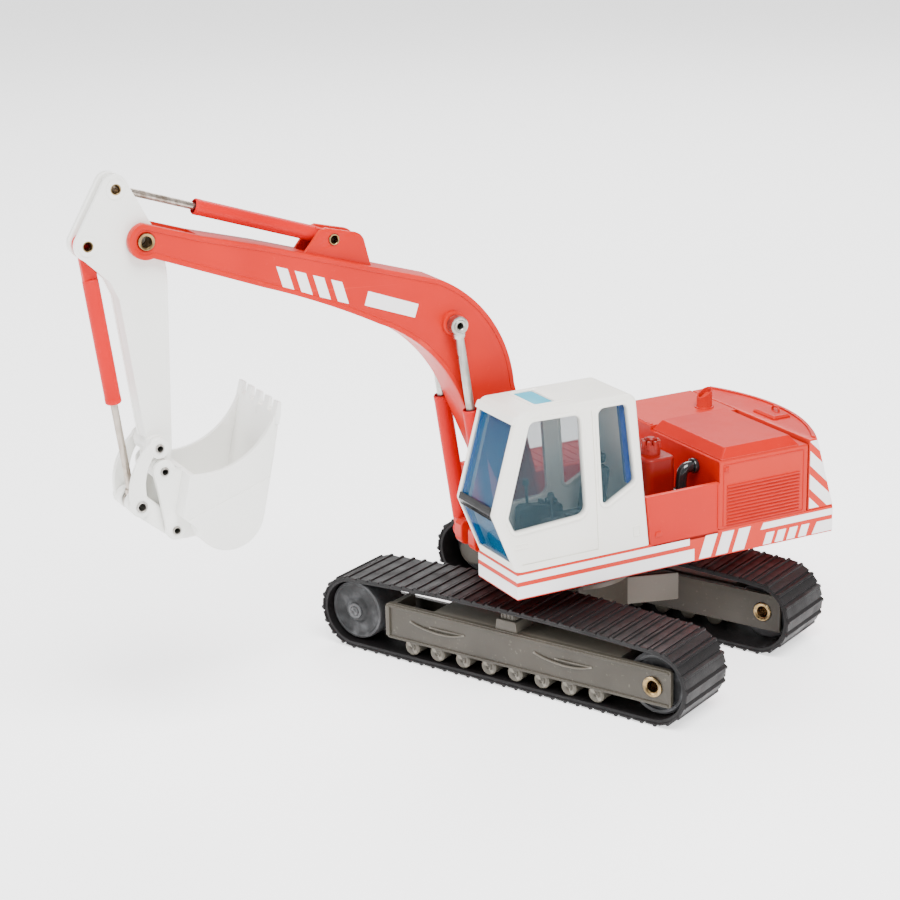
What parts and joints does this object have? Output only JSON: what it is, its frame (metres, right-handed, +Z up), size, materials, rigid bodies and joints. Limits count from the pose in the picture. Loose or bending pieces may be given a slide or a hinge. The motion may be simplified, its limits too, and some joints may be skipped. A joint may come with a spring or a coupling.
{
  "type": "toy excavator",
  "caption": "Die-cast toy crawler excavator: tracked undercarriage, slewing red upper structure with a white glazed cab, hinged boom, stick, cylinders and a toothed bucket.",
  "frame": {"origin": "The point where the slew axis meets the ground plane under the tracks.", "axes": "+X runs along the tracks towards the idlers, +Y to the left track, +Z up. The upper structure is stored turned about 63 degrees from +X towards +Y."},
  "size_m": [0.0974, 0.1557, 0.1155],
  "materials": {
    "red_paint": "gloss",
    "cylinder_red": "gloss",
    "white_paint": "gloss",
    "white_plastic": "satin",
    "red_plastic": "satin",
    "dark_red_plastic": "satin",
    "grey_paint": "satin",
    "wheel_grey": "satin",
    "belt_rubber": "matte",
    "brass": "polished",
    "steel": "satin",
    "blue_glazing": "gloss",
    "black_plastic": "satin",
    "black_gloss": "gloss"
  },
  "bodies": {
    "undercarriage": {"centre_frame": "grey_paint", "slew_rivet": "brass", "side_frame_left": "grey_paint", "side_frame_right": "grey_paint", "track_left": "belt_rubber", "track_right": "belt_rubber", "idler_axle_left": "steel", "idler_axle_right": "steel", "drive_rivet_left": "brass", "drive_rivet_right": "brass"},
    "idler_wheel_left": {"idler_left": "wheel_grey"},
    "idler_wheel_right": {"idler_right": "wheel_grey"},
    "rear_wheel_left": {"drive_wheel_left": "wheel_grey"},
    "rear_wheel_right": {"drive_wheel_right": "wheel_grey"},
    "upper_structure": {"deck": "red_paint", "engine_hood": "red_plastic", "counterweight": "red_paint", "hood_cover": "red_plastic", "exhaust_stack": "red_plastic", "service_plate": "red_plastic", "right_housing": "red_plastic", "cab_shell": "white_plastic", "cab_glass_left": "blue_glazing", "cab_glass_right": "blue_glazing", "windscreen": "blue_glazing", "windscreen_bar": "black_plastic", "roof_hatch": "blue_glazing", "cab_floor": "black_plastic", "seat": "black_plastic", "console": "black_plastic", "tank_block": "dark_red_plastic", "valve_block": "dark_red_plastic", "hose_elbow": "black_gloss", "boom_foot_pin": "steel", "boom_cylinder_base_pin": "steel"},
    "boom_arm": {"boom": "red_paint", "boom_tip_rivet": "brass", "boom_cylinder_pin": "steel", "ear_rivet": "brass"},
    "boom_cylinder_barrels": {"boom_cylinder_barrel_left": "cylinder_red", "boom_cylinder_barrel_right": "cylinder_red"},
    "boom_cylinder_rods": {"boom_cylinder_rod_left": "steel", "boom_cylinder_rod_right": "steel"},
    "stick_arm": {"stick": "white_paint", "stick_top_rivet": "brass", "bucket_cylinder_rivet": "brass", "rocker_rivet": "steel", "bucket_rivet": "steel"},
    "stick_barrel": {"stick_cylinder_barrel": "cylinder_red"},
    "stick_rod": {"stick_cylinder_rod": "steel"},
    "bucket_scoop": {"bucket": "white_paint", "coupler_rivet": "steel"},
    "rocker_pair": {"rocker_link_left": "white_paint", "rocker_link_right": "white_paint", "link_rivet": "steel"},
    "coupler_link": {"coupler": "white_paint"},
    "bucket_barrel": {"bucket_cylinder_barrel": "cylinder_red"},
    "bucket_rod": {"bucket_cylinder_rod": "steel"}
  },
  "joints": [
    {"name": "idler_spin_left", "type": "hinge", "parent": "undercarriage", "child": "idler_wheel_left", "pos_m": [0.03794, 0.024, 0.00847], "axis": [0, 1, 0], "continuous": true},
    {"name": "rear_wheel_spin_left", "type": "hinge", "parent": "undercarriage", "child": "rear_wheel_left", "pos_m": [-0.03794, 0.0236, 0.00847], "axis": [0, 1, 0], "continuous": true},
    {"name": "idler_spin_right", "type": "hinge", "parent": "undercarriage", "child": "idler_wheel_right", "pos_m": [0.03794, -0.024, 0.00847], "axis": [0, 1, 0], "continuous": true},
    {"name": "rear_wheel_spin_right", "type": "hinge", "parent": "undercarriage", "child": "rear_wheel_right", "pos_m": [-0.03794, -0.0236, 0.00847], "axis": [0, 1, 0], "continuous": true},
    {"name": "slew", "type": "hinge", "parent": "undercarriage", "child": "upper_structure", "pos_m": [0, 0, 0.02317], "axis": [0, 0, 1], "continuous": true},
    {"name": "boom_lift", "type": "hinge", "parent": "upper_structure", "child": "boom_arm", "pos_m": [0.00606, 0.01206, 0.034], "axis": [0.8934, -0.4492, 0], "range_deg": [-30, 10]},
    {"name": "stick_swing", "type": "hinge", "parent": "boom_arm", "child": "stick_arm", "pos_m": [0.04263, 0.08479, 0.1025], "axis": [0.8934, -0.4492, 0], "range_deg": [-9, 45]},
    {"name": "bucket_curl", "type": "hinge", "parent": "stick_arm", "child": "bucket_scoop", "pos_m": [0.04249, 0.08452, 0.0573], "axis": [0.8934, -0.4492, 0], "range_deg": [-5, 50]},
    {"name": "boom_barrel_tilt", "type": "hinge", "parent": "upper_structure", "child": "boom_cylinder_barrels", "pos_m": [0.01047, 0.02082, 0.0285], "axis": [0.8934, -0.4492, 0], "range_deg": [-28.8, 9.7]},
    {"name": "boom_rod_tilt", "type": "hinge", "parent": "boom_arm", "child": "boom_cylinder_rods", "pos_m": [0.01361, 0.02707, 0.0776], "axis": [0.8934, -0.4492, 0], "range_deg": [-0.6, 1.5]},
    {"name": "stick_barrel_tilt", "type": "hinge", "parent": "boom_arm", "child": "stick_barrel", "pos_m": [0.02493, 0.04959, 0.0978], "axis": [0.8934, -0.4492, 0], "range_deg": [-1.2, 5.4]},
    {"name": "stick_rod_tilt", "type": "hinge", "parent": "stick_arm", "child": "stick_rod", "pos_m": [0.04474, 0.08899, 0.1127], "axis": [0.8934, -0.4492, 0], "range_deg": [-39.9, 8.1]},
    {"name": "rocker_swing", "type": "hinge", "parent": "stick_arm", "child": "rocker_pair", "pos_m": [0.04281, 0.08515, 0.0621], "axis": [0.8934, -0.4492, 0], "range_deg": [-4.2, 40.7]},
    {"name": "coupler_swing", "type": "hinge", "parent": "bucket_scoop", "child": "coupler_link", "pos_m": [0.04173, 0.083, 0.0449], "axis": [0.8934, -0.4492, 0], "range_deg": [-19.8, 2.1]},
    {"name": "bucket_barrel_tilt", "type": "hinge", "parent": "stick_arm", "child": "bucket_barrel", "pos_m": [0.04752, 0.09453, 0.1026], "axis": [0.8934, -0.4492, 0], "range_deg": [-0.9, 7.3]},
    {"name": "bucket_rod_tilt", "type": "hinge", "parent": "rocker_pair", "child": "bucket_rod", "pos_m": [0.04478, 0.08908, 0.051], "axis": [0.8934, -0.4492, 0], "range_deg": [-33.6, 3.5]}
  ],
  "couplings": [
    {"joint": "boom_barrel_tilt", "follows": "boom_lift", "ratio": 0.9545},
    {"joint": "boom_rod_tilt", "follows": "boom_lift", "ratio": -0.0455},
    {"joint": "stick_barrel_tilt", "follows": "stick_swing", "ratio": 0.11569},
    {"joint": "stick_rod_tilt", "follows": "stick_swing", "ratio": -0.88431},
    {"joint": "rocker_swing", "follows": "bucket_curl", "ratio": 0.81064},
    {"joint": "coupler_swing", "follows": "bucket_curl", "ratio": -0.3936},
    {"joint": "bucket_barrel_tilt", "follows": "bucket_curl", "ratio": 0.14202},
    {"joint": "bucket_rod_tilt", "follows": "bucket_curl", "ratio": -0.66862}
  ]
}
